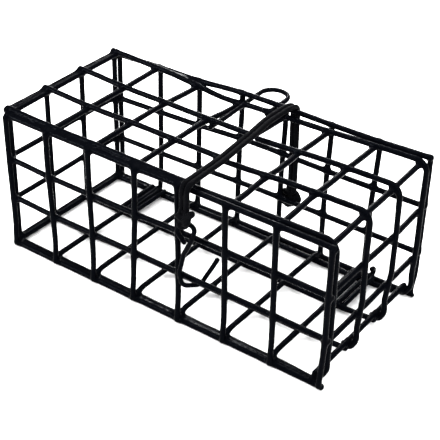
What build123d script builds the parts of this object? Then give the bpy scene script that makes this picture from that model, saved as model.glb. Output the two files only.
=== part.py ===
"""Small welded-wire live catch trap: a 7 x 3 x 3 cell cage of coated wire.

The cage is a floor, two sides, a rear end and a rear top panel, bonded to each other by
their coating.  An L-shaped door, front and front top in one piece, turns on curled wire
ends about the floor's front cross wire.  A doubled elastic cord lies over the door's free
end and is held on the near side by a wire J-hook that catches under a rail.

Frame: millimetres, +X from the closed rear end to the door, +Y to the far side, +Z up.
The origin is on the ground, under the middle of the seven by three cells.
"""

import os
from math import cos, radians, sin
from build123d import *

# Wire mesh
PITCH = 25.4                 # cell length and width
CELL_HEIGHT = 24.0           # cell height of the two sides and the ends
WIRE_OD = 2.7                # steel wire with its plastic coating
WIRE_R = WIRE_OD / 2
WELD_STEP = 1.5              # centre distance of two wires welded across each other
CELLS_LONG = 7
CELLS_WIDE = 3
CELLS_HIGH = 3
STUB = 1.35                  # length of a wire's cut end past the last wire it crosses

# Side panels: rails inside, uprights outside
RAIL_Y = 40.6
UPRIGHT_Y = RAIL_Y + WELD_STEP
RAIL_Z0 = WIRE_R
RAIL_Z = [RAIL_Z0 + row * CELL_HEIGHT for row in range(CELLS_HIGH + 1)]
TOP_RAIL_Z = RAIL_Z[-1]

# Panels that span between the sides
EDGE_Y = 38.0                # outermost long wires of the floor, rear end and rear top
INNER_Y = PITCH / 2          # the two long wires between them
CROSS_HALF = 40.4            # half length of a cross wire
FLOOR_CROSS_Z = 3.2
FLOOR_LONG_Z = FLOOR_CROSS_Z - WELD_STEP

# Rear end, standing just behind the first cell
REAR_UPRIGHT_X = -90.3
REAR_CROSS_X = REAR_UPRIGHT_X - WELD_STEP

# Rear top panel: its long wires slope down towards the door
REAR_TOP_CELLS = 4
REAR_TOP_BACK_Z = 75.0
REAR_TOP_FRONT_Z = 73.8

# Door
HINGE_X = 85.3
HINGE_Z = 5.4
CURL_R = 2.9                 # centre line of the curl about the hinge wire
CURL_START = 212             # where the curl's cut end stands, degrees
CURL_END = 330               # where the curl runs off towards the front
DOOR_FRONT_X = 90.0
DOOR_TOP_Z = 74.0
DOOR_EDGE_Y = 37.5
DOOR_BACK_X = 15.7
DOOR_BEND_R = 5.5            # where the front turns into the top
DOOR_FOOT_R = 9.0            # bend where the front meets the curl
DOOR_BEND_CROSS_X = 86.6     # inside the bend
DOOR_BEND_CROSS_DROP = 2.6   # below the top's long wires
DOOR_FRONT_CROSS_Z = (22.6, 47.8)
FLOOR_EDGE_END_X = 78.3      # the floor's edge wires stop short of the door's curls
FLOOR_SHIFT_Y = -3.1         # the floor's inner wires pass beside the door's curls
FLOOR_SHIFT_SHARE = 0.87     # the part of that shift reached one cell before the hinge
FLOOR_RISE_R = 40.0

# Elastic cord, two strands side by side
CORD_R = 1.25
CORD_PITCH = 2.6             # between the two strands
NEAR_CORD_X = 19.0           # middle of the strands at the near rail
FAR_CORD_X = 16.9            # and at the far rail
NEAR_CORD_Y = -45.1
FAR_CORD_Y = 43.5
CORD_TOP_Z = 77.0
CORD_TURN_R = 3.4            # round the top rail of each side
NEAR_KNOT_TOP_Z = 64.4
FAR_KNOT_TOP_Z = 30.4
CORD_SPLIT_Z = 73.0          # the near leg ends here, below the near top rail
KNOT_LOBE_R = 2.2

# Thin wire of the hook and the anchors
THIN_R = 1.0
ANCHOR_R = 1.25
ANCHOR_PITCH = 2.7
FRONT_ANCHOR_SHIFT_X = 0.8   # the front bundle sits a little off its cross wire
ANCHOR_LIFT = 0.3


def column_x(k):
    """X of mesh column k; 0 is the rear end and 7 the door."""
    return (k - CELLS_LONG / 2) * PITCH


def rod(start, end, radius=WIRE_R):
    """A straight round wire between two points."""
    return wire_along(Line(start, end), radius)


def wire_along(path, radius=WIRE_R):
    """A round wire that follows a path."""
    section = Plane(origin=path @ 0, z_dir=path % 0) * Circle(radius)
    return sweep(section, path=path)


def group(solids):
    """Separate solids kept together in one node."""
    return Compound(children=list(solids))


def side_uprights(side):
    """Eight uprights of a side panel; side is -1 for near and +1 for far."""
    y = side * UPRIGHT_Y
    low = RAIL_Z0 - WIRE_R + 0.3
    high = TOP_RAIL_Z + STUB
    columns = range(CELLS_LONG + 1)
    return group(rod((column_x(k), y, low), (column_x(k), y, high)) for k in columns)


def side_rails(side):
    """Four rails of a side panel."""
    y = side * RAIL_Y
    back = REAR_CROSS_X
    front = column_x(CELLS_LONG) + STUB
    return group(rod((back, y, z), (front, y, z)) for z in RAIL_Z)


def floor_long_wires():
    """Two edge wires, and two inner wires that rise to the hinge wire at their front."""
    back = REAR_CROSS_X + 1
    wires = []
    for y in (-EDGE_Y, EDGE_Y):
        wires.append(rod((back, y, FLOOR_LONG_Z), (FLOOR_EDGE_END_X, y, FLOOR_LONG_Z)))
    for y in (-INNER_Y, INNER_Y):
        path = FilletPolyline(
            (back, y, FLOOR_LONG_Z),
            (column_x(CELLS_LONG - 1), y + FLOOR_SHIFT_Y * FLOOR_SHIFT_SHARE, FLOOR_LONG_Z),
            (HINGE_X + 1, y + FLOOR_SHIFT_Y, HINGE_Z - WELD_STEP),
            radius=FLOOR_RISE_R,
        )
        wires.append(wire_along(path))
    return group(wires)


def cross_wire(x, z, half=CROSS_HALF):
    """A wire across the cage, along Y."""
    return rod((x, -half, z), (x, half, z))


def floor_cross_wires():
    """Seven wires across the floor, all but the hinge wire."""
    return group(cross_wire(column_x(k), FLOOR_CROSS_Z) for k in range(CELLS_LONG))


def door_hinge_wire():
    """The floor's front cross wire, which the door turns on."""
    return cross_wire(HINGE_X, HINGE_Z)


def panel_wire_y():
    """Y of the four long wires of a fixed panel."""
    return (-EDGE_Y, -INNER_Y, INNER_Y, EDGE_Y)


def rear_end_uprights():
    """Four uprights of the rear end, from the floor to the rear top panel."""
    low = FLOOR_LONG_Z
    high = TOP_RAIL_Z + 0.4
    x = REAR_UPRIGHT_X
    return group(rod((x, y, low), (x, y, high)) for y in panel_wire_y())


def rear_end_cross_wires():
    """Four wires across the rear end, outside its uprights."""
    heights = [FLOOR_LONG_Z, *RAIL_Z[1:]]
    return group(cross_wire(REAR_CROSS_X, z) for z in heights)


def rear_top_z(x):
    """Height of the rear top panel's long wires at x."""
    back = column_x(0)
    share = (x - back) / (column_x(REAR_TOP_CELLS) - back)
    return REAR_TOP_BACK_Z + share * (REAR_TOP_FRONT_Z - REAR_TOP_BACK_Z)


def rear_top_long_wires():
    """Four sloping wires; their cut ends stand out over the rear end."""
    back = REAR_CROSS_X - 0.8
    front = column_x(REAR_TOP_CELLS) + STUB
    ends = [(x, rear_top_z(x)) for x in (back, front)]
    return group(rod((ends[0][0], y, ends[0][1]), (ends[1][0], y, ends[1][1]))
                 for y in panel_wire_y())


def rear_top_cross_wires():
    """Five wires across, under the long wires of the rear top panel."""
    columns = [column_x(k) for k in range(REAR_TOP_CELLS + 1)]
    return group(cross_wire(x, rear_top_z(x) - WELD_STEP) for x in columns)


def door_wire_path(y):
    """Curl about the hinge wire, up the front, round the bend and along the top."""
    curl = CenterArc((HINGE_X, HINGE_Z), CURL_R, CURL_START, CURL_END - CURL_START)
    end = radians(CURL_END)
    rise = (DOOR_FRONT_X - HINGE_X - CURL_R * cos(end)) / -sin(end)
    foot_z = HINGE_Z + CURL_R * sin(end) + rise * cos(end)
    run = FilletPolyline(
        curl @ 1,
        (DOOR_FRONT_X, foot_z),
        (DOOR_FRONT_X, DOOR_TOP_Z),
        (DOOR_BACK_X, DOOR_TOP_Z),
        radius=[DOOR_FOOT_R, DOOR_BEND_R],
    )
    plane = Plane(origin=(0, y, 0), x_dir=(1, 0, 0), z_dir=(0, -1, 0))
    return plane * Wire(curl.edges() + run.edges())


def door_long_wires():
    """Four bent wires, each one piece from its curl to the free end."""
    places = (-DOOR_EDGE_Y, -INNER_Y, INNER_Y, DOOR_EDGE_Y)
    return group(wire_along(door_wire_path(y)) for y in places)


def door_top_cross_wires():
    """Three wires across the door's top, under its long wires; its back ends stay free."""
    half = DOOR_EDGE_Y + STUB
    wires = [cross_wire(column_x(k), DOOR_TOP_Z - WELD_STEP, half) for k in (5, 6)]
    wires.append(cross_wire(DOOR_BEND_CROSS_X, DOOR_TOP_Z - DOOR_BEND_CROSS_DROP, half))
    return group(wires)


def door_front_cross_wires():
    """Two wires across the door's front, behind its long wires."""
    half = DOOR_EDGE_Y + STUB
    x = DOOR_FRONT_X - WELD_STEP
    return group(cross_wire(x, z, half) for z in DOOR_FRONT_CROSS_Z)


def strand_offsets():
    """The two strands, either side of the cord's middle."""
    return (-CORD_PITCH / 2, CORD_PITCH / 2)


def elastic_cord_over_top():
    """Both strands from the near top rail over the cage and down to the far knot."""
    strands = []
    for dx in strand_offsets():
        near_x = NEAR_CORD_X + dx
        far_x = FAR_CORD_X + dx
        path = FilletPolyline(
            (near_x, NEAR_CORD_Y, CORD_SPLIT_Z),
            (near_x, NEAR_CORD_Y, CORD_TOP_Z),
            (far_x, FAR_CORD_Y, CORD_TOP_Z),
            (far_x, FAR_CORD_Y, FAR_KNOT_TOP_Z),
            radius=CORD_TURN_R,
        )
        strands.append(wire_along(path, CORD_R))
    return group(strands)


def elastic_cord_near_leg():
    """The stretch of both strands that lengthens when the hook is pulled down."""
    low = NEAR_KNOT_TOP_Z + 0.1
    places = [NEAR_CORD_X + dx for dx in strand_offsets()]
    return group(rod((x, NEAR_CORD_Y, low), (x, NEAR_CORD_Y, CORD_SPLIT_Z), CORD_R)
                 for x in places)


def knot_body(centre, bead_r, lobes):
    """A pulled-tight knot: overlapping round turns of cord about its centre, one solid."""
    body = Pos(*centre) * Sphere(bead_r)
    for dx, dy, dz in lobes:
        body += Pos(centre[0] + dx, centre[1] + dy, centre[2] + dz) * Sphere(KNOT_LOBE_R)
    return body


def loose_end(start, end):
    """A cut end of cord with a rounded tip."""
    return rod(start, end, CORD_R) + Pos(*end) * Sphere(CORD_R)


def near_knot():
    """Overhand knot of both strands, tied to the hook's eye."""
    lobes = [(-1.7, 0.4, 1.7), (1.7, 0.4, 1.5), (-1.5, -0.4, -1.6), (1.6, -0.3, -1.4)]
    body = knot_body((19.6, -46.6, 60.6), 2.6, lobes)
    return body + loose_end((20.8, -46.5, 61.8), (23.9, -46.4, 64.6))


def far_knot():
    """Knot of both strands beside the far side's fifth upright."""
    lobes = [(-3.0, 0.3, 2.4), (1.6, -0.4, 2.8), (-3.2, 0.4, -2.0), (2.2, 0.2, -2.4)]
    body = knot_body((16.0, 45.8, 25.6), 3.6, lobes)
    return body + loose_end((17.6, 45.8, 26.0), (21.0, 45.6, 26.5))


def j_hook():
    """Wire J-hook: an eye in the knot, a shank outside, and a tip inside the cage."""
    path = FilletPolyline(
        (18.9, -46.1, 47.8),
        (14.9, -45.6, 52.8),
        (18.6, -44.9, 59.6),
        (24.6, -44.9, 57.2),
        (22.6, -44.9, 50.4),
        (18.3, -44.9, 41.6),
        (15.7, -44.9, 30.0),
        (16.9, -44.0, 22.7),
        (22.9, -38.2, 22.7),
        (30.0, -35.6, 38.4),
        radius=[2.0, 2.2, 2.2, 6.0, 6.0, 10.0, 3.2, 3.4],
    )
    return wire_along(path, THIN_R)


def top_anchor_loop():
    """Loop standing out of the far top edge, one leg beside a cross wire."""
    z = TOP_RAIL_Z - WIRE_R - THIN_R - 0.05
    left = column_x(3) + 2.6
    right = left + 16.6
    tip_y = 59.6
    path = FilletPolyline(
        (left, 10.5, z),
        (left, tip_y, z),
        (right, tip_y, z),
        (right, 36.4, z),
        radius=8.0,
    )
    return wire_along(path, THIN_R)


def anchor_wires(x, offsets):
    """Short wires bonded side by side along the floor cross wire at x, in the far cell."""
    low = 10.6
    high = 38.9
    z = FLOOR_CROSS_Z + ANCHOR_LIFT
    return group(rod((x + dx, low, z), (x + dx, high, z), ANCHOR_R) for dx in offsets)


def front_anchor_x():
    """X of the middle of the front bundle."""
    return column_x(6) + FRONT_ANCHOR_SHIFT_X


def front_anchor_wires():
    """Four wires beside the sixth cross wire."""
    return anchor_wires(front_anchor_x(), [step * ANCHOR_PITCH for step in (-2, -1, 1, 2)])


def rear_anchor_wires():
    """Three wires beside the first cross wire inside the rear end."""
    return anchor_wires(column_x(1), [step * ANCHOR_PITCH for step in (-1, 1, 2)])


def front_anchor_eye():
    """The anchor's curled end, standing up outside the far side's lowest rail."""
    x = front_anchor_x() + ANCHOR_PITCH
    z = FLOOR_CROSS_Z + ANCHOR_LIFT
    path = FilletPolyline(
        (x, 38.9, z),
        (x, 43.9, z),
        (x, 43.9, z + 3.6),
        (x, 41.4, z + 3.6),
        radius=[1.6, 1.4],
    )
    return wire_along(path, ANCHOR_R)


PARTS = {
    "near_side_uprights": side_uprights(-1),
    "near_side_rails": side_rails(-1),
    "far_side_uprights": side_uprights(1),
    "far_side_rails": side_rails(1),
    "floor_long_wires": floor_long_wires(),
    "floor_cross_wires": floor_cross_wires(),
    "door_hinge_wire": door_hinge_wire(),
    "rear_end_uprights": rear_end_uprights(),
    "rear_end_cross_wires": rear_end_cross_wires(),
    "rear_top_long_wires": rear_top_long_wires(),
    "rear_top_cross_wires": rear_top_cross_wires(),
    "door_long_wires": door_long_wires(),
    "door_top_cross_wires": door_top_cross_wires(),
    "door_front_cross_wires": door_front_cross_wires(),
    "elastic_cord_over_top": elastic_cord_over_top(),
    "elastic_cord_near_leg": elastic_cord_near_leg(),
    "near_knot": near_knot(),
    "far_knot": far_knot(),
    "j_hook": j_hook(),
    "top_anchor_loop": top_anchor_loop(),
    "front_anchor_wires": front_anchor_wires(),
    "front_anchor_eye": front_anchor_eye(),
    "rear_anchor_wires": rear_anchor_wires(),
}

os.makedirs("parts", exist_ok=True)
for name, shape in PARTS.items():
    export_step(shape, f"parts/{name}.step")
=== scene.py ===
"""Looks of the live catch trap: dip-coated wire, elastic cord and hook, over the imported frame.

Every wire is a tube drawn about its centre line.  The tubes of one body are pulled out to a
common smooth surface, so that the coating runs together in webs where wires cross.
Lengths are in millimetres until a mesh is made.
"""

from copy import copy
from math import cos, pi, radians, sin

import bpy
import numpy as np
from mathutils import Matrix, Vector


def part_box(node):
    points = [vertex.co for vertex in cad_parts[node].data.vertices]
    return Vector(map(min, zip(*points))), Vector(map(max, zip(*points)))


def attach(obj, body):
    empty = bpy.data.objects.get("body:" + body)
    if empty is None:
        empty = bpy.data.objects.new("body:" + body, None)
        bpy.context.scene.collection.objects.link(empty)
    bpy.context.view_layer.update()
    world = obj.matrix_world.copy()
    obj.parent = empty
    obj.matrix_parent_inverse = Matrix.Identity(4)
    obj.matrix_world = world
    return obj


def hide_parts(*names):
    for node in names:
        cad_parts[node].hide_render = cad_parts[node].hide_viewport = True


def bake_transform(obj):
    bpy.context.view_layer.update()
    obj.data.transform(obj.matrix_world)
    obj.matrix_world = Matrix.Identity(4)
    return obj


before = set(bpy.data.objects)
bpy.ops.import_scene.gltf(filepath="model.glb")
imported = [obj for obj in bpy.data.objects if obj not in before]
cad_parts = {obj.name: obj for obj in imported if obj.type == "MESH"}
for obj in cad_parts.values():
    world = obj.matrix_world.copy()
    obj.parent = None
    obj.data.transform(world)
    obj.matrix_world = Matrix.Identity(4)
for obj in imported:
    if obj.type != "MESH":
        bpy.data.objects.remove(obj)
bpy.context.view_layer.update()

MM = 0.001
SIDES = 16                   # points round a wire
FINE_STEP = 0.45             # ring spacing near a crossing
COARSE_STEP = 1.8            # and between crossings
BEND_STEP = 0.7
NEAR_CROSSING = 4.7          # how far from another wire's centre line rings stay fine
REACH = 7.5                  # how far off a wire still adds to the coating
MAX_SWELL = 1.7              # most the surface stands out past a wire's radius
CHUNK = 20                   # rings worked on at once
FINE_CHUNK = 40              # places tested for neighbours at once
MARCH_STEPS = 14
WIRE_R = 1.35
END_TRIM = 0.75              # a coated end is round, so its centre line stops short
CUT_END_TRIM = 2.1           # shorter still where a cut end is buried in the next wire's coating
WEB = 0.62                   # how softly the coating of two wires runs together
TIGHT = 0.14                 # the same inside a knot
X, Y, Z = 0, 1, 2
PITCH = 25.4                 # length and width of a cell
RAIL_STEP = 24.0             # height of a cell of the sides
RAIL_HEIGHTS = (5, 25.35, 49.35, 73.35)
PANEL_Y = (-38.0, -12.7, 12.7, 38.0)     # the long wires of the floor, the rear top and the door
LONG_STEP = 6.0              # straight wires are bent at points this far apart
rng = np.random.default_rng(7)


# ---------------------------------------------------------------- noise

LATTICE = 32
lattice = rng.uniform(-1, 1, (LATTICE, LATTICE, LATTICE))


def noise(points, cell, shift=0.0):
    """Smooth noise between -1 and 1 at points, with features about cell across."""
    p = points / cell + shift + LATTICE * 8
    base = np.floor(p).astype(int)
    f = p - base
    f = f * f * (3 - 2 * f)
    total = np.zeros(len(points))
    for corner in range(8):
        step = np.array([corner & 1, corner >> 1 & 1, corner >> 2 & 1])
        i = (base + step) % LATTICE
        weight = np.prod(np.where(step, f, 1 - f), axis=1)
        total += weight * lattice[i[:, 0], i[:, 1], i[:, 2]]
    return total


def ease(value, start, end):
    """0 before start, 1 after end, and smooth between."""
    t = np.clip((value - start) / (end - start), 0, 1)
    return t * t * (3 - 2 * t)


# ---------------------------------------------------------------- centre lines

def box(node):
    """Lowest and highest corner of a CAD node, in millimetres."""
    low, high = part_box(node)
    return np.array(low) / MM, np.array(high) / MM


def divided(points, step=2.0):
    """Points with more put in, so that none are further apart than step."""
    points = np.asarray(points, float)
    out = [points[:1]]
    for a, b in zip(points[:-1], points[1:]):
        n = max(1, int(np.ceil(np.linalg.norm(b - a) / step)))
        out.append(a + (b - a) * (np.arange(1, n + 1) / n)[:, None])
    return np.concatenate(out)


def arc(centre, radius, start, end, y, count=24):
    """Points on an arc in an XZ plane; angles in degrees from +X towards +Z."""
    angles = np.radians(np.linspace(start, end, count))
    x = centre[0] + radius * np.cos(angles)
    z = centre[1] + radius * np.sin(angles)
    return np.stack([x, np.full(count, y), z], axis=1)


def rounded(points, radii, count=9):
    """A run of straights with an arc at each inner corner."""
    points = np.asarray(points, float)
    out = [points[0]]
    for i, radius in enumerate(radii, start=1):
        a = points[i - 1] - points[i]
        b = points[i + 1] - points[i]
        a /= np.linalg.norm(a)
        b /= np.linalg.norm(b)
        half = np.arccos(np.clip(a @ b, -1, 1)) / 2
        mid = (a + b) / np.linalg.norm(a + b)
        centre = points[i] + mid * radius / sin(half)
        first = points[i] + a * radius / np.tan(half) - centre
        last = points[i] + b * radius / np.tan(half) - centre
        turn = pi - 2 * half
        for t in np.linspace(0, 1, count):
            out.append(centre + (first * sin((1 - t) * turn) + last * sin(t * turn)) / sin(turn))
    out.append(points[-1])
    return np.array(out)


def smooth_path(points, count):
    """A smooth line through points (a centripetal-like cubic), count points long."""
    p = np.asarray(points, float)
    p = np.concatenate([2 * p[:1] - p[1:2], p, 2 * p[-1:] - p[-2:-1]])
    out = []
    spans = len(p) - 3
    for t in np.linspace(0, spans - 1e-9, count):
        i = int(t)
        u = t - i
        a, b, c, d = p[i:i + 4]
        out.append(0.5 * (2 * b + (c - a) * u + (2 * a - 5 * b + 4 * c - d) * u ** 2
                          + (3 * b - a - 3 * c + d) * u ** 3))
    return np.array(out)


class Wire:
    """One wire: the piece it belongs to, its centre line and its radius."""

    def __init__(self, piece, points, radius=WIRE_R, trim=END_TRIM, bent=False):
        self.piece = piece
        self.bent = bent
        self.radius = radius
        path = divided(points, 0.6 if bent else LONG_STEP)
        self.path = trimmed(path, trim)


def trimmed(path, trim):
    """The path with trim taken off each end."""
    path = path.copy()
    for end, inner in ((0, 1), (-1, -2)):
        along = path[inner] - path[end]
        path[end] += along * min(0.9, trim / np.linalg.norm(along))
    return path


def lines_across(node, along, spread, count):
    """Centre lines of a node's evenly spaced straight wires, from its box."""
    low, high = box(node)
    third = X + Y + Z - along - spread
    lines = []
    for place in np.linspace(low[spread] + WIRE_R, high[spread] - WIRE_R, count):
        ends = np.zeros((2, 3))
        ends[:, third] = (low[third] + high[third]) / 2
        ends[:, spread] = place
        ends[:, along] = low[along], high[along]
        lines.append(ends)
    return lines


# ---------------------------------------------------------------- small bends of the real wires
# Each of these says how far points move, in millimetres, from the straight wires of the CAD.

def wobble(points):
    """The slight waviness that every hand-cut mesh has."""
    return np.stack([noise(points, 47, s) for s in (0.3, 5.1, 9.7)], axis=1) * (0.32, 0.28, 0.22)


def bump(value, middle, width):
    """1 at middle, and smoothly down to nothing about two widths away."""
    return np.exp(-((value - middle) / width) ** 2)


def near_side_warp(points):
    """The near side's uprights lean a little, and its upper rails sag behind the middle."""
    x, _, z = points.T
    foot_shift = np.interp(x, (-90, -64, -38, -13, 12, 60, 89), (1.0, 2.2, 0.9, -0.2, 0.6, 0.7, 0.3))
    head_shift = np.interp(x, (-38, -13, 12, 60, 89), (0, 1.4, 0, 0, 1.3))
    up = ease(z, 8, 66)
    forward = foot_shift * (1 - up) + head_shift * up + 0.7 * ease(x, 76, 88) * bump(z, 26, 14)
    rear_lift = np.interp(z, RAIL_HEIGHTS, (0, 1.2, -1.4, -1.0))
    rear_lift = rear_lift + 0.8 * (1 - ease(x, -88, -62)) * ease(z, 6, 24) * (1 - ease(z, 50, 72))
    front_lift = np.interp(z, RAIL_HEIGHTS, (0, 1.1, -0.6, -0.6))
    front = ease(x, -20, 20)
    outward = -0.9 * (1 - ease(z, 0, 14))
    return np.stack([forward, outward, rear_lift * (1 - front) + front_lift * front], axis=1)


def far_side_lift(points):
    """The far side's upper edge stands higher from the second cell to the door."""
    x, _, z = points.T
    at_foot = 1 - ease(z, 0, 14)
    edge_lift = 0.8 * ease(x, -88, -60) + 1.8 * ease(x, -42, -8)
    edge_lift = edge_lift + np.interp(x, (10, 38, 64, 86), (0, -0.5, -0.4, 0.4))
    middle_rails = ease(z, 6, 24) * (1 - ease(z, 50, 70))
    rail_lift = np.interp(x, (-89, -60, -30, 0), (-1.3, -1.0, -0.3, 0.2))
    forward = -1.2 * (1 - ease(x, -86, -66)) - 0.5 * bump(x, -38, 10)
    foot_shift = np.interp(x, (-30, -13, 12, 38, 64, 80), (0, -0.7, -0.8, -0.9, -1.6, 0))
    forward = forward + foot_shift * (1 - ease(z, 30, 72)) - 1.2 * ease(x, 70, 86) * at_foot
    inward = -0.8 * at_foot * (1 - ease(x, -60, -20))
    return np.stack([forward, inward, edge_lift * ease(z, 26, 74) + middle_rails * rail_lift], axis=1)


def rear_top_sag(points):
    """The rear top panel dips along its far edge, and is tilted a little to the near side."""
    x, y, _ = points.T
    sag = -3.6 * bump(x, -8, 34) * ease(y, 5, 38) * (1 - 0.45 * ease(x, -24, 0))
    rear = np.interp(y, PANEL_Y, (-0.5, 0.2, 0.4, 0.9))
    middle = np.interp(y, PANEL_Y, (-0.8, -0.5, -0.5, 0.5))
    front = np.interp(y, PANEL_Y, (-0.3, 0, 0, 0))
    first, second = ease(x, -88, -62), ease(x, -58, -30)
    tilt = rear * (1 - first) + middle * first * (1 - second) + front * second
    return np.stack([0 * x, 0 * x, sag + tilt], axis=1)


def floor_bow(points):
    """The floor lies a little to the near side, and its middle rises towards the door."""
    x, y, z = points.T
    rise = np.interp(x, (-89, -64, -38, -13, 12, 64, 89), (-1.1, -0.3, 1.3, 1.5, 1.3, 1.7, 0.8))
    rise = rise * (1 - ease(np.abs(y), 34, 38.5)) * (0.5 + 0.5 * ease(z, 1.9, 3.0))
    return np.stack([0 * x, -0.9 * (1 - ease(x, 60, 84)), rise], axis=1)


# How far out each long wire of the door's front leans, near wire first, at these heights.
LEAN_HEIGHTS = (6, 14, 30, 50, 74)
DOOR_LEANS = (
    (0, -0.5, 0.0, -0.2, -0.4),
    (0, -0.8, 0.8, 0.3, 0.1),
    (0, -1.3, 0.6, 0.6, -0.1),
    (0, -0.8, -0.3, -0.5, -0.2),
)


def door_lean(points):
    """The door's top rises towards its bend, less along the near edge; its front leans out."""
    x, y, z = points.T
    rise = -1.4 + 2.4 * ease(x, 15, 92)
    rise = rise + 0.5 * ease(y, 0, 38) - 1.1 * ease(-y, 5, 38) * ease(x, 30, 90)
    inner_wires = bump(np.abs(y), 12.7, 10)
    rise = rise + 0.8 * inner_wires * bump(x, 48, 22) - 0.3 * ease(-y, 14, 36)
    leans = np.array([np.interp(z, LEAN_HEIGHTS, lean) for lean in DOOR_LEANS])
    nearer = np.clip(np.searchsorted(PANEL_Y, y) - 1, 0, 2)
    share = np.clip((y - np.array(PANEL_Y)[nearer]) / PITCH, 0, 1)
    each = np.arange(len(x))
    lean = leans[nearer, each] * (1 - share) + leans[nearer + 1, each] * share
    return np.stack([lean * ease(x, 70, 88), 0 * x, rise * ease(z, 30, 72)], axis=1)


def cord_lift(points):
    """The cord follows the far side's higher edge, and snakes a little over the top."""
    x, y, z = points.T
    lift = (2.3 * ease(y, -40, 44) - 1.5 * ease(y, 34, 43)) * ease(z, 26, 74)
    snake = (0.5 * bump(y, -20, 12) - 0.9 * bump(y, 20, 11)) * ease(z, 66, 74)
    far_leg = 0.9 * (1 - ease(z, 36, 74)) * ease(y, 30, 40)
    return np.stack([far_leg + snake, 0 * x, lift], axis=1)


def bent_by(points, *fields):
    """Points moved by the waviness and by each field, all read at the same place."""
    moved = points + wobble(points)
    for field in fields:
        moved = moved + field(points)
    return moved


# ---------------------------------------------------------------- the wires

def panel_wire(node, line, *fields, **kinds):
    """A long straight wire of a panel, waved and bent by the panel's fields."""
    return Wire(node, bent_by(divided(line, LONG_STEP), *fields), **kinds)


def side_wires(side, field):
    """Uprights and rails of one side panel."""
    uprights, rails = f"{side}_side_uprights", f"{side}_side_rails"
    wires = [panel_wire(uprights, line, field, trim=CUT_END_TRIM) for line in lines_across(uprights, Z, X, 8)]
    for line in lines_across(rails, X, Z, 4):
        line[0][X] += CUT_END_TRIM
        wires.append(panel_wire(rails, line, field))
    return wires


def floor_wires():
    """The floor: cross wires, the hinge wire, and long wires that splay towards the door."""
    node = "floor_cross_wires"
    wires = [panel_wire(node, line, floor_bow) for line in lines_across(node, Y, X, 7)]
    low, high = box("door_hinge_wire")
    pin = (low + high) / 2
    ends = [(pin[X], low[Y], pin[Z]), (pin[X], high[Y], pin[Z])]
    wires.append(panel_wire("door_hinge_wire", ends))

    low, high = box("floor_long_wires")
    z = low[Z] + WIRE_R
    splay = -2.6                 # the inner wires' shift to the near side at the hinge wire
    under_pin = 2.9              # how far under the hinge wire they end
    for y in PANEL_Y[1:3]:
        line = [(low[X], y, z), (2.5 * PITCH, y + 0.8 * splay, z), (high[X], y + splay, pin[Z] - under_pin)]
        wires.append(panel_wire("floor_long_wires", line, floor_bow))

    z -= 0.3
    # The near edge's wire turns out at the door, and the far edge's bows in before it.
    for y, end_x, bow, turn in ((PANEL_Y[0], 84.0, 0.0, 1.4), (PANEL_Y[3], 80.6, 1.7, 0.0)):
        line = [(low[X], y, z), (-10, y, z), (30, y - bow, z), (end_x - 16, y - bow, z),
                (end_x, y - turn, z - 0.05)]
        wires.append(panel_wire("floor_long_wires", line, floor_bow))
    return wires


def rear_wires():
    """The rear end and the rear top panel."""
    wires = []
    low, high = box("rear_end_uprights")
    x = (low[X] + high[X]) / 2
    for y in PANEL_Y:
        wires.append(panel_wire("rear_end_uprights", [(x, y, low[Z]), (x, y, high[Z])]))

    low, high = box("rear_end_cross_wires")
    x = (low[X] + high[X]) / 2
    top_z = box("near_side_rails")[1][Z] - WIRE_R
    sag = 1.0                    # of the two middle wires, below the sides' rails
    tuck = 0.9                   # the lowest wire lies further in
    start_y = low[Y] + 1.3
    rows = [(x + tuck, low[Z] + WIRE_R), (x, top_z)]
    rows += [(x, top_z - RAIL_STEP - sag), (x, top_z - 2 * RAIL_STEP - sag)]
    for row_x, z in rows:
        wires.append(panel_wire("rear_end_cross_wires", [(row_x, start_y, z), (row_x, high[Y], z)]))

    low, high = box("rear_top_long_wires")
    for y in PANEL_Y:
        line = [(low[X] + 1, y, high[Z] - WIRE_R), (high[X], y, low[Z] + WIRE_R)]
        wires.append(panel_wire("rear_top_long_wires", line, rear_top_sag))
    low, high = box("rear_top_cross_wires")
    for share in np.linspace(0, 1, 5):
        x = low[X] + WIRE_R + share * (high[X] - low[X] - 2 * WIRE_R)
        z = high[Z] - WIRE_R - share * (high[Z] - low[Z] - 2 * WIRE_R)
        wires.append(panel_wire("rear_top_cross_wires", [(x, low[Y], z), (x, high[Y], z)], rear_top_sag))
    return wires


def anchor_loop():
    """The loop of thin wire at the far top edge; its tip is bent up."""
    low, high = box("top_anchor_loop")
    r = (high[Z] - low[Z]) / 2
    left, right = low[X] + r + 1.2, high[X] - r - 1.1
    tip = high[Y] - r
    short_end = 36.4
    z = (low[Z] + high[Z]) / 2
    loop = rounded([(left, low[Y], z), (left, tip, z), (right, tip, z), (right, short_end, z)], [7.0, 7.0])
    loop = divided(loop, 1.5)
    loop[:, Z] += 1.3 * ease(loop[:, Y], 20, 50)
    return [Wire("top_anchor_loop", loop + wobble(loop), radius=1.2, trim=0.3, bent=True)]


def anchor_bars():
    """The short wires beside two of the floor's cross wires."""
    wires = []
    closer = {3: 0.7, 4: 0.35}   # the front bars by the door stand closer to the others
    for node, places in (("front_anchor_wires", (0, 1, 3, 4)), ("rear_anchor_wires", (0, 2, 3))):
        low, high = box(node)
        r = (high[Z] - low[Z]) / 2
        step = (high[X] - low[X] - 2 * r) / places[-1]
        z = (low[Z] + high[Z]) / 2
        for place in places:
            x = low[X] + r + place * step
            if node == "front_anchor_wires":
                x -= closer.get(place, 0)
            wires.append(panel_wire(node, [(x, low[Y], z), (x, high[Y], z)], radius=r))
    return wires


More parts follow.
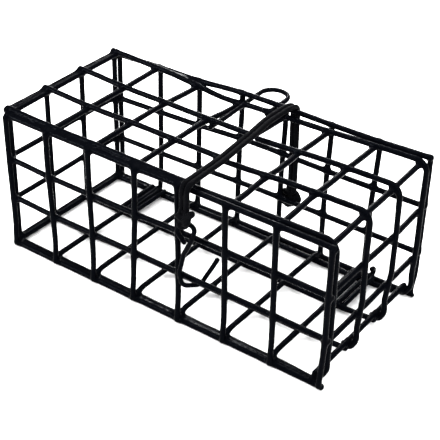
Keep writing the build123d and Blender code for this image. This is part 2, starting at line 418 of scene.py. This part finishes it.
def anchor_eye():
    """The curled end of the front anchor wires, outside the far side."""
    low, high = box("front_anchor_eye")
    r = (high[X] - low[X]) / 2
    x = (low[X] + high[X]) / 2
    tip = high[Y] - r - 1.0
    curl_z = high[Z] - r - 0.6
    curl_length = 2.2
    eye = rounded([(x, low[Y] - 1, low[Z] + r), (x, tip, low[Z] + r),
                   (x, tip, curl_z), (x, tip - curl_length, curl_z)], [1.4, 1.3])
    eye[:, Z] -= 0.8 * ease(eye[:, Y], 38, 42)
    return [Wire("front_anchor_eye", eye + wobble(eye), radius=r, trim=0.3, bent=True)]


def door_long_wires():
    """Long wires bent from front to top, their feet curled about the hinge wire."""
    low, high = box("door_hinge_wire")
    pin = (low + high) / 2
    low, high = box("door_long_wires")
    front_x = high[X] - WIRE_R
    top_z = high[Z] - WIRE_R
    curl_r = 2.65
    curl_start, curl_end = 222, 330
    near_curl_start = 264        # the near edge's curl starts later, under the corner's coating
    end = radians(curl_end)
    start_x = pin[X] + curl_r * cos(end)
    start_z = pin[Z] + curl_r * sin(end)
    foot_z = start_z + (front_x - start_x) / -sin(end) * cos(end)
    sleeve_r, sleeve_drop, sleeve_near, sleeve_far = 1.75, 0.3, 3.4, 1.8
    wires = []
    for y in (low[Y] + WIRE_R, -PITCH / 2, PITCH / 2, high[Y] - WIRE_R):
        near_edge = y < -PITCH
        curl = arc((pin[X], pin[Z]), curl_r, near_curl_start if near_edge else curl_start, curl_end, y)
        run = rounded([(start_x, y, start_z), (front_x, y, foot_z), (front_x, y, top_z),
                       (low[X], y, top_z)], [9.0, 5.5])
        path = divided(np.concatenate([curl, run[1:]]), 2)
        wires.append(Wire("door_long_wires", bent_by(path, door_lean), bent=True))
        if not near_edge:
            z = pin[Z] - sleeve_drop
            sleeve = divided([(pin[X], y - sleeve_near, z), (pin[X], y + sleeve_far, z)], 1)
            wires.append(Wire("door_long_wires", bent_by(sleeve), radius=sleeve_r))
    return wires


def door_cross_wires():
    """The three cross wires of the door's top and the two of its front."""
    wires = []
    low, high = box("door_top_cross_wires")
    z = high[Z] - WIRE_R
    rows = [(1.5 * PITCH, 1.5 * PITCH, z), (2.5 * PITCH - 0.6, 2.5 * PITCH - 0.6, z),
            (high[X] - WIRE_R + 0.5, high[X] - WIRE_R - 0.5, low[Z] + WIRE_R)]
    for near_x, far_x, z in rows:
        line = [(near_x, low[Y], z), (far_x, high[Y], z)]
        wires.append(panel_wire("door_top_cross_wires", line, door_lean))
    shifts = ((-0.7, 0.2), (-0.2, 0.7))      # of each wire's near and far end, upwards
    for line, (near, far) in zip(lines_across("door_front_cross_wires", Y, Z, 2), shifts):
        line[0][Z] += near
        line[1][Z] += far
        wires.append(panel_wire("door_front_cross_wires", line, door_lean))
    return wires


HOOK_ROUTE = [
    (19.6, -46.1, 48.6), (14.9, -45.6, 52.8), (18.6, -44.9, 59.6), (24.6, -44.9, 57.2),
    (22.6, -44.9, 50.4), (18.3, -44.9, 41.6), (15.7, -44.9, 30.0), (16.9, -44.0, 22.7),
    (22.9, -38.2, 22.7), (30.0, -35.6, 38.4),
]
HOOK_BENDS = [2.0, 2.2, 2.2, 6.0, 6.0, 10.0, 3.2, 3.4]


def hook_wires():
    """The J-hook."""
    path = divided(rounded(HOOK_ROUTE, HOOK_BENDS), 1.0)
    path[:, Z] += 0.5 * (1 - ease(path[:, Z], 26, 36))
    return [Wire("j_hook", path + wobble(path), radius=1.1, trim=0.4, bent=True)]


def cord_strands():
    """The two strands over the top, and the two of the near leg below them."""
    low, high = box("elastic_cord_over_top")
    leg_low, leg_high = box("elastic_cord_near_leg")
    cord_r = 1.25
    half_gap = 1.3               # from the middle of the doubled cord to a strand's middle
    near_x = (leg_low[X] + leg_high[X]) / 2
    far_x = low[X] + cord_r + half_gap
    near_y, far_y = low[Y] + cord_r, high[Y] - cord_r
    top_z = high[Z] - cord_r
    start_z = leg_high[Z] + 0.8  # the bent part of the route; below it the strand joins the leg
    over, leg = [], []
    for shift in (-half_gap, half_gap):
        x = near_x + shift
        route = [(x, near_y, start_z), (x, near_y, top_z),
                 (far_x + shift, far_y, top_z), (far_x + shift, far_y, low[Z])]
        path = divided(rounded(route, [3.4, 3.4]), 1.5)
        path = path + wobble(path) + cord_lift(path)
        path[0] = (x, near_y, leg_high[Z])
        over.append(Wire("elastic_cord_over_top", path, radius=cord_r, trim=0, bent=True))
        line = divided([(x, near_y, leg_high[Z]), (x, near_y, leg_low[Z])], 1)
        leg.append(Wire("elastic_cord_near_leg", line, radius=cord_r, trim=0, bent=True))
    return over, leg


def knot(piece, centre, width, height, depth, tails, tail_r):
    """An overhand knot pulled tight: a trefoil in the XZ plane, and the cords that leave it."""
    t = np.linspace(0, 2 * pi, 90)
    x = (np.sin(t) + 2 * np.sin(2 * t)) / 3
    z = (np.cos(t) - 2 * np.cos(2 * t)) / 3
    y = -np.sin(3 * t)
    path = np.array(centre) + np.stack([x * width, y * depth, z * height], axis=1)
    wires = [Wire(piece, path, radius=1.3, trim=0, bent=True)]
    for tail in tails:
        wires.append(Wire(piece, smooth_path(tail, 24), radius=tail_r, trim=0, bent=True))
    return wires


def near_knot():
    """The knot on the hook's eye: a loose tail, and the two strands that come down to it."""
    tail = [(18.4, -46.4, 60.6), (20.6, -47.0, 62.4), (23.0, -46.6, 64.2), (23.9, -46.4, 65.2)]
    strands = [[(17.7, -45.3, 64.5), (18.0, -45.6, 63.2), (19.0, -46.2, 61.6)],
               [(20.3, -45.3, 64.5), (20.2, -45.6, 63.2), (19.6, -46.2, 61.6)]]
    return knot("near_knot", (19.6, -46.7, 60.4), 3.2, 3.0, 0.9, [tail] + strands, 1.5)


def far_knot():
    """The knot on the far side: its small loop, its tail, and the two strands from above."""
    loop = [(16.4, 45.4, 25.6), (19.2, 46.2, 26.4), (20.8, 45.8, 24.9), (19.4, 45.2, 23.6),
            (16.8, 45.4, 23.8)]
    tail = [(12.4, 45.6, 27.6), (10.9, 46.0, 24.0), (11.8, 45.8, 20.6), (14.6, 45.6, 19.6)]
    strands = [[(15.6, 43.6, 32.0), (15.2, 44.2, 29.6), (14.2, 45.2, 27.4)],
               [(18.2, 43.6, 32.0), (18.0, 44.2, 29.6), (16.6, 45.2, 27.6)]]
    return knot("far_knot", (15.6, 45.8, 24.6), 4.5, 4.3, 1.0, [loop] + strands + [tail], 1.2)


# ---------------------------------------------------------------- the coating's surface

ANCHORS_X = (-62.2, 64.3)    # middles of the rear and the front anchor wires


def web_share(points):
    """Less web among the door's curled feet and the anchor wires, so that their gaps stay open."""
    x, y, z = points.T
    curls = ease(x, 76, 81) * (1 - ease(z, 8, 13))
    off_middle = np.minimum(np.abs(x - ANCHORS_X[0]), np.abs(x - ANCHORS_X[1]))
    anchors = (1 - ease(off_middle, 7, 10)) * ease(y, 9, 12) * (1 - ease(z, 5.5, 8))
    return 1 - 0.6 * np.maximum(curls, anchors)


class Surface:
    """The smooth common surface of some wires, with beads of coating added to it."""

    def __init__(self, wires, web, beads=()):
        starts, ends, radii, owner = [], [], [], []
        for number, wire in enumerate(wires):
            starts.append(wire.path[:-1])
            ends.append(wire.path[1:])
            radii += [wire.radius] * (len(wire.path) - 1)
            owner += [number] * (len(wire.path) - 1)
        for number, (place, radius) in enumerate(beads, start=len(wires)):
            starts.append(np.array([place]))
            ends.append(np.array([place]) + (0, 0, 0.01))
            radii.append(radius)
            owner.append(number)
        self.start = np.concatenate(starts)
        self.run = np.concatenate(ends) - self.start
        self.length2 = (self.run ** 2).sum(1)
        self.radius = np.array(radii)
        self.owner = np.array(owner)
        self.web = web

    def near(self, centre, reach):
        """The part of this surface within reach of centre."""
        share = np.clip(((centre - self.start) * self.run).sum(1) / self.length2, 0, 1)
        gap = np.linalg.norm(centre - self.start - self.run * share[:, None], axis=1)
        keep = gap < reach
        part = copy(self)
        part.start, part.run, part.length2 = self.start[keep], self.run[keep], self.length2[keep]
        part.radius, part.owner = self.radius[keep], self.owner[keep]
        return part

    def distances(self, points):
        """Distance of each point from each wire's round surface."""
        offset = points[:, None, :] - self.start
        share = np.clip((offset * self.run).sum(2) / self.length2, 0, 1)
        gap = np.sqrt(((offset - self.run * share[:, :, None]) ** 2).sum(2)) - self.radius
        first = np.flatnonzero(np.diff(self.owner, prepend=-1))
        return np.minimum.reduceat(gap, first, axis=1)

    def value(self, points):
        """Signed distance from the coating's surface, below 0 inside it."""
        gap = self.distances(points)
        swell = 0.05 * noise(points, 4.3) + 0.03 * noise(points, 1.9, 3.3)
        web = self.web
        if web > TIGHT:
            web = web * (1 + 0.25 * noise(points, 11.0, 6.6)) * web_share(points)
        lowest = gap.min(1)
        total = np.exp(-(gap - lowest[:, None]) / np.reshape(web, (-1, 1))).sum(1)
        return lowest - web * np.log(total) - swell

    def normals(self, points, eps=0.04):
        """Outward direction of the surface at points."""
        grad = np.zeros_like(points)
        for axis in range(3):
            step = np.zeros(3)
            step[axis] = eps
            grad[:, axis] = self.value(points + step) - self.value(points - step)
        return grad / np.maximum(np.linalg.norm(grad, axis=1), 1e-9)[:, None]


def ring_places(wire, surface, own):
    """Where rings go along a wire: closer near a crossing and in a bend."""
    length = np.concatenate([[0], np.cumsum(np.linalg.norm(np.diff(wire.path, axis=0), axis=1))])
    fine = np.arange(0, length[-1], FINE_STEP)
    points = np.stack([np.interp(fine, length, wire.path[:, i]) for i in range(3)], axis=1)
    step = np.full(len(fine), BEND_STEP if wire.bent else COARSE_STEP)
    for start in range(0, len(fine), FINE_CHUNK):
        part = points[start:start + FINE_CHUNK]
        centre = part.mean(0)
        reach = np.linalg.norm(part - centre, axis=1).max() + REACH
        local = surface.near(centre, reach)
        gap = local.distances(part)
        owners = local.owner[np.flatnonzero(np.diff(local.owner, prepend=-1))]
        others = gap[:, owners != own]
        if others.shape[1]:
            close = others.min(1) + WIRE_R < NEAR_CROSSING
            step[start:start + FINE_CHUNK][close] = FINE_STEP
    places, at = [], 0.0
    while at < length[-1]:
        places.append(at)
        at += step[min(int(at / FINE_STEP), len(step) - 1)]
    if length[-1] - places[-1] < FINE_STEP / 2:
        places.pop()
    places.append(length[-1])
    centres = np.stack([np.interp(places, length, wire.path[:, i]) for i in range(3)], axis=1)
    return centres, np.array(places)


def ring_frames(centres):
    """Tangent, and two directions across it that don't twist, at each ring."""
    tangent = np.gradient(centres, axis=0)
    tangent /= np.linalg.norm(tangent, axis=1)[:, None]
    across = np.cross(tangent[0], (0.31, 0.52, 0.79))
    across /= np.linalg.norm(across)
    first = np.zeros_like(tangent)
    for i, t in enumerate(tangent):
        across = across - t * (across @ t)
        across /= np.linalg.norm(across)
        first[i] = across
    return tangent, first, np.cross(tangent, first)


CAP_TILTS = (20, 40, 60, 78)


def march(surface, origins, directions, radius):
    """How far the surface is from each origin along its direction."""
    reach = np.full(len(origins), radius * 0.8)
    for _ in range(MARCH_STEPS):
        value = surface.value(origins + directions * reach[:, None])
        reach = np.clip(reach - np.clip(value, -0.7, 0.4) * 0.95, 0.3 * radius, radius + MAX_SWELL)
    return reach


def wire_rows(wire, surface, own):
    """Ring origins and directions of a wire, its two rounded ends included."""
    centres, places = ring_places(wire, surface, own)
    tangent, first, second = ring_frames(centres)
    angles = np.arange(SIDES) * 2 * pi / SIDES
    round_ = np.cos(angles)[:, None, None] * first + np.sin(angles)[:, None, None] * second
    round_ = np.transpose(round_, (1, 0, 2))
    rows = [(centres[i], round_[i], places[i]) for i in range(len(centres))]
    head, foot = [], []
    for tilt in CAP_TILTS:
        c, s = cos(radians(tilt)), sin(radians(tilt))
        head.insert(0, (centres[0], round_[0] * c - tangent[0] * s, places[0] - s * wire.radius))
        foot.append((centres[-1], round_[-1] * c + tangent[-1] * s, places[-1] + s * wire.radius))
    poles = [(centres[0], -tangent[0]), (centres[-1], tangent[-1])]
    return head + rows + foot, poles


def wire_mesh(wire, surface, own):
    """Points, normals, faces and lengthwise places of one wire."""
    rows, poles = wire_rows(wire, surface, own)
    origins = np.concatenate([np.repeat(r[0][None], SIDES, 0) for r in rows] + [p[0][None] for p in poles])
    directions = np.concatenate([r[1] for r in rows] + [p[1][None] for p in poles])
    points = np.zeros_like(origins)
    normals = np.zeros_like(origins)
    count = len(rows)
    first_pole, last_pole = count * SIDES, count * SIDES + 1
    edges = list(range(0, first_pole, CHUNK * SIDES)) + [first_pole, last_pole, last_pole + 1]
    for start, end in zip(edges[:-1], edges[1:]):
        o, d = origins[start:end], directions[start:end]
        centre = o.mean(0)
        local = surface.near(centre, np.linalg.norm(o - centre, axis=1).max() + REACH)
        reach = march(local, o, d, wire.radius)
        points[start:end] = o + d * reach[:, None]
        normals[start:end] = local.normals(points[start:end])
    faces = []
    for i in range(count - 1):
        for j in range(SIDES):
            k = (j + 1) % SIDES
            faces.append((i * SIDES + j, i * SIDES + k, (i + 1) * SIDES + k, (i + 1) * SIDES + j))
    for j in range(SIDES):
        k = (j + 1) % SIDES
        faces.append((first_pole, k, j))
        faces.append((last_pole, (count - 1) * SIDES + j, (count - 1) * SIDES + k))
    lengths = np.concatenate([np.repeat(r[2], SIDES) for r in rows] + [[rows[0][2], rows[-1][2]]])
    around = np.concatenate([np.arange(SIDES) / SIDES] * count + [[0.5, 0.5]])
    return points, normals, faces, lengths, around


def make_pieces(wires, web, ending, beads=()):
    """One mesh object for each CAD node named in wires, by node; ending ends its name."""
    surface = Surface(wires, web, beads)
    made = {}
    for number, wire in enumerate(wires):
        made.setdefault(wire.piece, []).append(wire_mesh(wire, surface, number))
    return {node: join_meshes(node + ending, parts) for node, parts in made.items()}


def join_meshes(name, parts):
    """A mesh object of several wires, with smooth normals and lengthwise UVs."""
    points, normals, faces, uv = [], [], [], []
    base = 0
    for p, n, f, lengths, around in parts:
        points.append(p)
        normals.append(n)
        uv.append(np.stack([lengths * MM, around], axis=1))
        faces += [tuple(base + i for i in face) for face in f]
        base += len(p)
    mesh = bpy.data.meshes.new(name)
    mesh.from_pydata((np.concatenate(points) * MM).tolist(), [], faces)
    mesh.update()
    mesh.shade_smooth()
    mesh.normals_split_custom_set_from_vertices(np.concatenate(normals).tolist())
    layer = mesh.uv_layers.new(name="along")
    corner = np.zeros(len(mesh.loops), int)
    mesh.loops.foreach_get("vertex_index", corner)
    layer.data.foreach_set("uv", np.concatenate(uv)[corner].ravel())
    obj = bpy.data.objects.new(name, mesh)
    bpy.context.scene.collection.objects.link(obj)
    return obj


# ---------------------------------------------------------------- materials

def material(name):
    """A new material's name, nodes, links and Principled node."""
    mat = bpy.data.materials.new(name)
    mat.use_nodes = True
    nodes = mat.node_tree.nodes
    return mat, nodes, mat.node_tree.links, nodes["Principled BSDF"]


def noise_node(nodes, links, coordinate, scale, detail):
    """A noise texture on a coordinate output."""
    node = nodes.new("ShaderNodeTexNoise")
    node.inputs["Scale"].default_value = scale
    node.inputs["Detail"].default_value = detail
    links.new(coordinate, node.inputs["Vector"])
    return node.outputs["Fac"]


def ramp_node(nodes, links, fac, stops):
    """A colour ramp through stops of (place, grey or colour)."""
    node = nodes.new("ShaderNodeValToRGB")
    ramp = node.color_ramp
    ramp.elements[0].position, ramp.elements[1].position = stops[0][0], stops[-1][0]
    while len(ramp.elements) < len(stops):
        ramp.elements.new(stops[len(ramp.elements) - 1][0])
    for element, (place, colour) in zip(ramp.elements, sorted(stops)):
        element.position = place
        if isinstance(colour, float):
            colour = (colour, colour, colour)
        element.color = (*colour, 1)
    links.new(fac, node.inputs["Fac"])
    return node.outputs["Color"]


def bump_node(nodes, links, height, distance, strength, normal=None):
    """A bump from a height output."""
    node = nodes.new("ShaderNodeBump")
    node.inputs["Strength"].default_value = strength
    node.inputs["Distance"].default_value = distance
    links.new(height, node.inputs["Height"])
    if normal is not None:
        links.new(normal, node.inputs["Normal"])
    return node.outputs["Normal"]


def dipped_coating(name, rough_low, rough_high):
    """Glossy black plastic dip, slightly dimpled, with duller and dustier patches."""
    mat, nodes, links, shader = material(name)
    place = nodes.new("ShaderNodeTexCoord").outputs["Object"]
    patches = noise_node(nodes, links, place, scale=90, detail=4)
    colour = ramp_node(nodes, links, patches, [
        (0.30, (0.0006, 0.0007, 0.0013)),
        (0.62, (0.0009, 0.0011, 0.0018)),
        (0.80, (0.0024, 0.0026, 0.0036)),
    ])
    links.new(colour, shader.inputs["Base Color"])
    dull = noise_node(nodes, links, place, scale=260, detail=5)
    links.new(ramp_node(nodes, links, dull, [(0.32, rough_low), (0.72, rough_high)]),
              shader.inputs["Roughness"])
    shader.inputs["Specular IOR Level"].default_value = 0.008
    shader.inputs["Specular Tint"].default_value = (0.76, 0.85, 1.0, 1)
    dimples = noise_node(nodes, links, place, scale=520, detail=2)
    grain = noise_node(nodes, links, place, scale=2600, detail=2)
    normal = bump_node(nodes, links, dimples, distance=0.00035, strength=0.55)
    normal = bump_node(nodes, links, grain, distance=0.00004, strength=0.35, normal=normal)
    links.new(normal, shader.inputs["Normal"])
    return mat


BRAID_LENGTH = 0.0017        # along the cord from rib to rib, in metres
BRAID_RIBS = 6               # round the cord, in each direction


def elastic_cover(name):
    """Black elastic cord: a fine braid of two crossing sets of ribs."""
    mat, nodes, links, shader = material(name)
    coord = nodes.new("ShaderNodeTexCoord")
    split = nodes.new("ShaderNodeSeparateXYZ")
    links.new(coord.outputs["UV"], split.inputs[0])
    heights = []
    for turn in (1, -1):
        along = nodes.new("ShaderNodeMath")
        along.operation = "MULTIPLY"
        along.inputs[1].default_value = 2 * pi / BRAID_LENGTH
        links.new(split.outputs["X"], along.inputs[0])
        around = nodes.new("ShaderNodeMath")
        around.operation = "MULTIPLY_ADD"
        around.inputs[1].default_value = turn * 2 * pi * BRAID_RIBS
        links.new(split.outputs["Y"], around.inputs[0])
        links.new(along.outputs[0], around.inputs[2])
        wave = nodes.new("ShaderNodeMath")
        wave.operation = "SINE"
        links.new(around.outputs[0], wave.inputs[0])
        heights.append(wave.outputs[0])
    braid = nodes.new("ShaderNodeMath")
    braid.operation = "MAXIMUM"
    links.new(heights[0], braid.inputs[0])
    links.new(heights[1], braid.inputs[1])
    place = coord.outputs["Object"]
    fuzz = noise_node(nodes, links, place, scale=1800, detail=3)
    colour = ramp_node(nodes, links, fuzz, [(0.3, (0.0006, 0.0007, 0.0011)),
                                            (0.75, (0.0020, 0.0021, 0.0028))])
    links.new(colour, shader.inputs["Base Color"])
    dull = noise_node(nodes, links, place, scale=300, detail=3)
    links.new(ramp_node(nodes, links, dull, [(0.3, 0.42), (0.7, 0.62)]), shader.inputs["Roughness"])
    shader.inputs["Specular IOR Level"].default_value = 0.009
    shader.inputs["Sheen Weight"].default_value = 0.005
    normal = bump_node(nodes, links, braid.outputs[0], distance=0.00012, strength=0.4)
    normal = bump_node(nodes, links, fuzz, distance=0.00006, strength=0.4, normal=normal)
    links.new(normal, shader.inputs["Normal"])
    return mat


coating = dipped_coating("dipped_coating", rough_low=0.12, rough_high=0.26)
thin_coating = dipped_coating("thin_dipped_coating", rough_low=0.10, rough_high=0.22)
cover = elastic_cover("elastic_cover")


# ---------------------------------------------------------------- put together

THIN_NODES = ("top_anchor_loop", "j_hook")


def cage_beads():
    """Drips of coating at the sides' lower front corners, and blobs at the hinge wire's ends."""
    (_, near_y, _), (near_x, _, _) = box("near_side_rails")
    _, far = box("far_side_rails")
    beads = [
        ((near_x - 0.8, near_y + 0.2, 1.6), 1.35), ((near_x, near_y - 0.2, 1.1), 0.8),
        ((far[X] - 2.0, far[Y] - 0.6, 1.7), 1.3), ((far[X] - 0.6, far[Y] - 1.8, 1.2), 1.1),
    ]
    low, high = box("door_hinge_wire")
    for y in (low[Y] - 0.1, high[Y] + 0.1):
        beads += [((low[X] + 1.2, y, 3.5), 1.45), ((high[X], y, 3.3), 1.3)]
    return beads


def stand_for(obj, node, mat):
    """A piece is made of mat, and the CAD node it stands for is hidden."""
    obj.data.materials.append(mat)
    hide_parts(node)


def add_coated(wires, web, body, beads=()):
    """Coated wire pieces that ride on a body."""
    for node, obj in make_pieces(wires, web, "_coated", beads).items():
        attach(obj, body)
        if node in THIN_NODES:
            stand_for(obj, node, thin_coating)
        else:
            stand_for(obj, node, coating)


def add_braided(wires, body):
    """Elastic cord pieces that ride on a body."""
    for node, obj in make_pieces(wires, TIGHT, "_braided").items():
        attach(obj, body)
        stand_for(obj, node, cover)


def add_near_leg(wires):
    """The cord's near leg, stretched between the cage and the hook."""
    node = "elastic_cord_near_leg"
    obj = make_pieces(wires, TIGHT, "_braided")[node]
    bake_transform(obj)
    stand_for(obj, node, cover)


cage_wires = side_wires("near", near_side_warp) + side_wires("far", far_side_lift) + floor_wires()
cage_wires += rear_wires() + anchor_loop() + anchor_bars() + anchor_eye()
add_coated(cage_wires, WEB, "cage", cage_beads())
add_coated(door_long_wires() + door_cross_wires(), WEB, "door")
add_coated(hook_wires(), TIGHT, "hook")

over, near_leg = cord_strands()
add_braided(over, "cage")
add_braided(far_knot(), "cage")
add_braided(near_knot(), "hook")
add_near_leg(near_leg)


# ---------------------------------------------------------------- floor, light and camera

def pale_floor():
    """A plain pale floor."""
    half = 4.0
    mesh = bpy.data.meshes.new("floor")
    corners = [(-half, -half, 0), (half, -half, 0), (half, half, 0), (-half, half, 0)]
    mesh.from_pydata(corners, [], [(0, 1, 2, 3)])
    obj = bpy.data.objects.new("floor", mesh)
    bpy.context.scene.collection.objects.link(obj)
    mat, _, _, shader = material("floor")
    shader.inputs["Base Color"].default_value = (0.96, 0.96, 0.96, 1)
    shader.inputs["Roughness"].default_value = 0.9
    shader.inputs["Specular IOR Level"].default_value = 0.1
    obj.data.materials.append(mat)


def area_light(name, place, target, size, power, height=None):
    """A soft rectangular lamp that faces target."""
    lamp = bpy.data.lights.new(name, "AREA")
    lamp.shape = "RECTANGLE"
    lamp.size = size
    lamp.size_y = height or size
    lamp.energy = power
    obj = bpy.data.objects.new(name, lamp)
    obj.location = place
    obj.rotation_euler = (Vector(target) - Vector(place)).to_track_quat("-Z", "Y").to_euler()
    bpy.context.scene.collection.objects.link(obj)


def studio():
    """White surroundings, a wide lamp overhead and three narrow ones for highlights."""
    world = bpy.data.worlds.new("studio")
    world.use_nodes = True
    background = world.node_tree.nodes["Background"]
    background.inputs["Color"].default_value = (1, 1, 1, 1)
    background.inputs["Strength"].default_value = 0.6
    bpy.context.scene.world = world
    area_light("overhead", (0.1, 0.2, 1.1), (0, 0, 0), size=1.8, power=30)
    area_light("left_strip", (-0.7, -0.7, 0.55), (0, 0, 0.03), size=0.05, power=17, height=0.9)
    area_light("right_strip", (0.9, -0.3, 0.5), (0, 0, 0.03), size=0.05, power=8, height=0.9)
    area_light("rear_strip", (-0.5, 0.8, 0.7), (0, 0, 0.05), size=0.06, power=17, height=0.9)
    bpy.context.scene.view_settings.view_transform = "Standard"


def camera():
    """The camera: above the near side and a little past the front, tilted by a degree."""
    place = Vector((0.27324, -0.37594, 0.33568))
    target = Vector((0.00606, -0.00061, 0.03133))
    roll = radians(1.252)
    back = (place - target).normalized()
    right = Vector((0, 0, 1)).cross(back).normalized()
    up = back.cross(right)
    right, up = right * cos(roll) + up * sin(roll), up * cos(roll) - right * sin(roll)
    data = bpy.data.cameras.new("camera")
    data.sensor_width = 36
    data.lens = 96.02
    data.clip_start = 0.01
    obj = bpy.data.objects.new("camera", data)
    matrix = Matrix((right, up, back)).transposed().to_4x4()
    matrix.translation = place
    obj.matrix_world = matrix
    bpy.context.scene.collection.objects.link(obj)
    bpy.context.scene.camera = obj


pale_floor()
studio()
camera()
